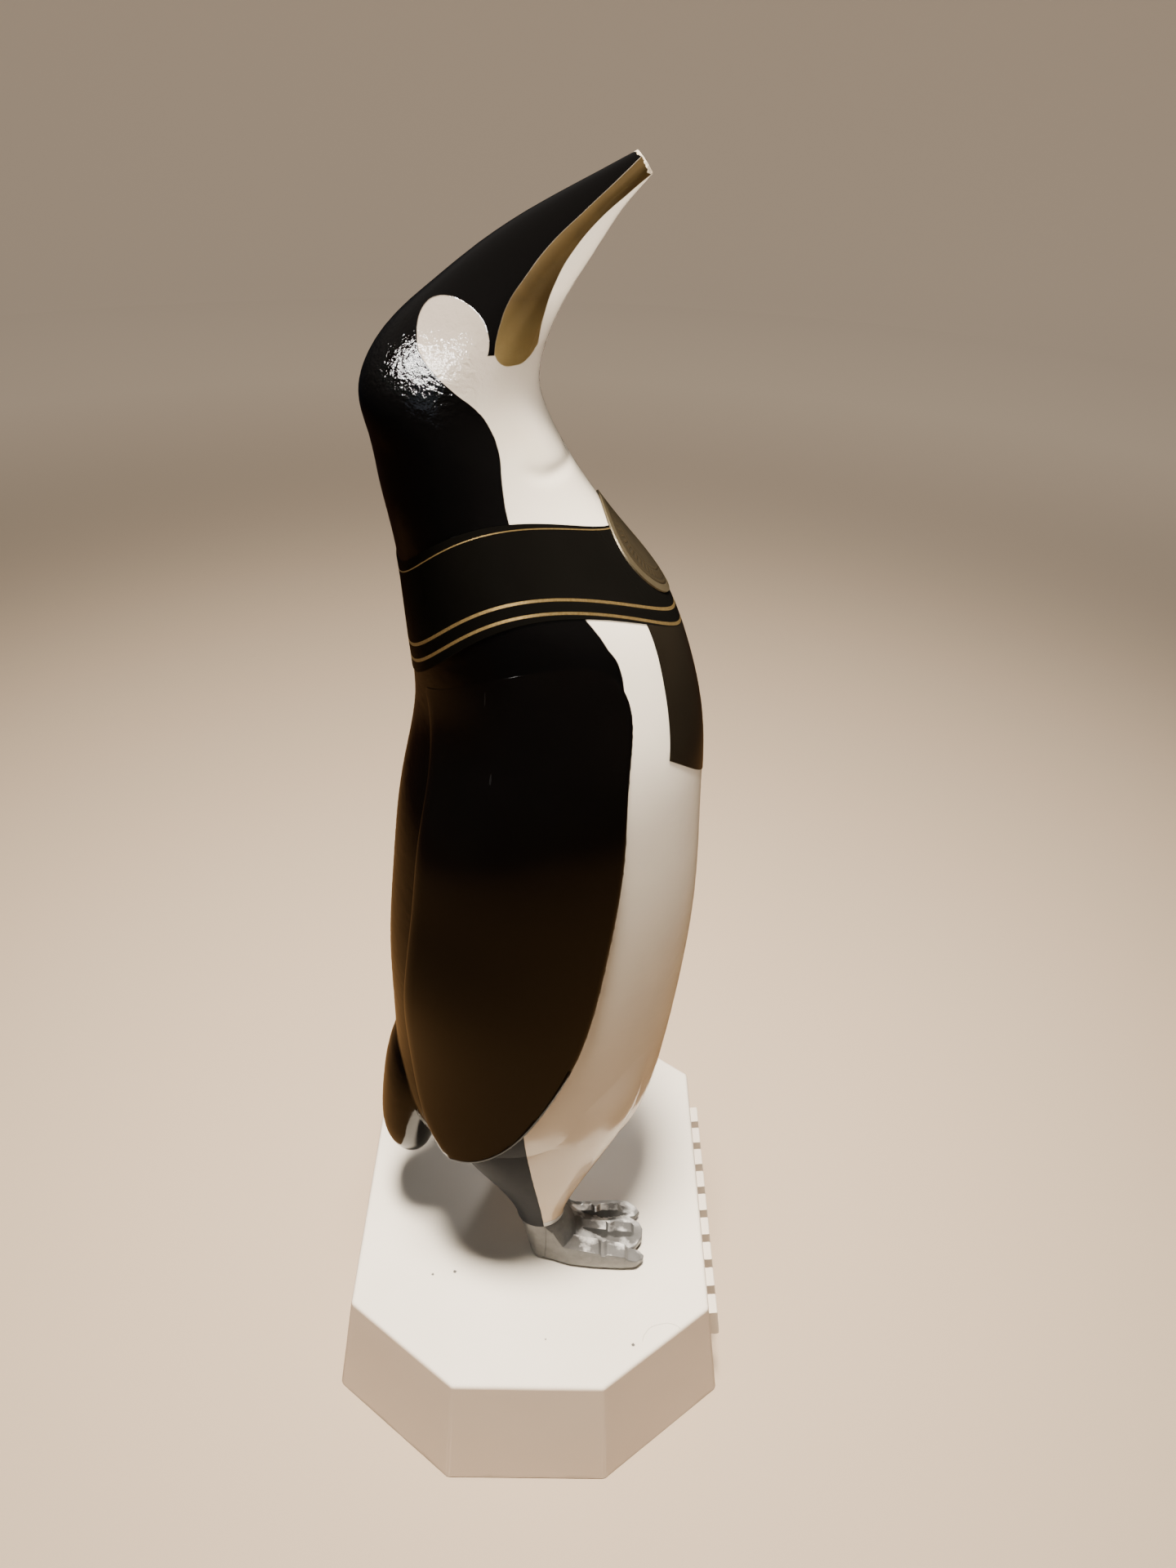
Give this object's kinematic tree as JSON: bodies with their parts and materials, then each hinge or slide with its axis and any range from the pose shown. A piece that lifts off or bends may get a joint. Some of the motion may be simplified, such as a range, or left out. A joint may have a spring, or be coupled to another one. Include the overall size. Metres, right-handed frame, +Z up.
{
  "type": "penguin figurine",
  "caption": "Standing penguin display figure with beak raised, separate flippers and webbed feet, a dark collar label and a round seal, screwed to a hollow octagonal plinth.",
  "frame": {"origin": "middle of the felt underside, on the table", "axes": "+Z up, +X the plinth's front with the row of blocks, +Y the figure's left; the figure faces +X turned 8 degrees towards +Y"},
  "size_m": [0.1218, 0.1558, 0.3522],
  "materials": {
    "plinth_plastic": "warm white satin moulded plastic, slightly scuffed",
    "board": "plain brown hardboard",
    "screw_steel": "zinc plated steel",
    "felt": "dark green felt",
    "cream_gloss": "cream gloss paint, slightly aged",
    "black_gloss": "black high gloss lacquer with faint orange peel",
    "dowel_wood": "plain beech",
    "silver_paint": "silver grey metallic paint",
    "label_black": "satin black printed sheet with thin gold lines",
    "gold_foil": "gold foil seal"
  },
  "bodies": {
    "root": {"base_shell": "plinth_plastic", "base_bottom_plate": "board", "bottom_plate_screws": "screw_steel", "base_felt": "felt", "front_dentil_blocks": "plinth_plastic", "belly_shell": "cream_gloss", "back_shell": "black_gloss", "shell_dowels": "dowel_wood", "right_flipper": "black_gloss", "left_flipper": "black_gloss", "right_foot": "silver_paint", "left_foot": "silver_paint", "foot_screws": "screw_steel", "foot_washers": "screw_steel", "collar_band": "label_black", "chest_panel": "label_black", "chest_seal": "gold_foil"}
  },
  "joints": []
}
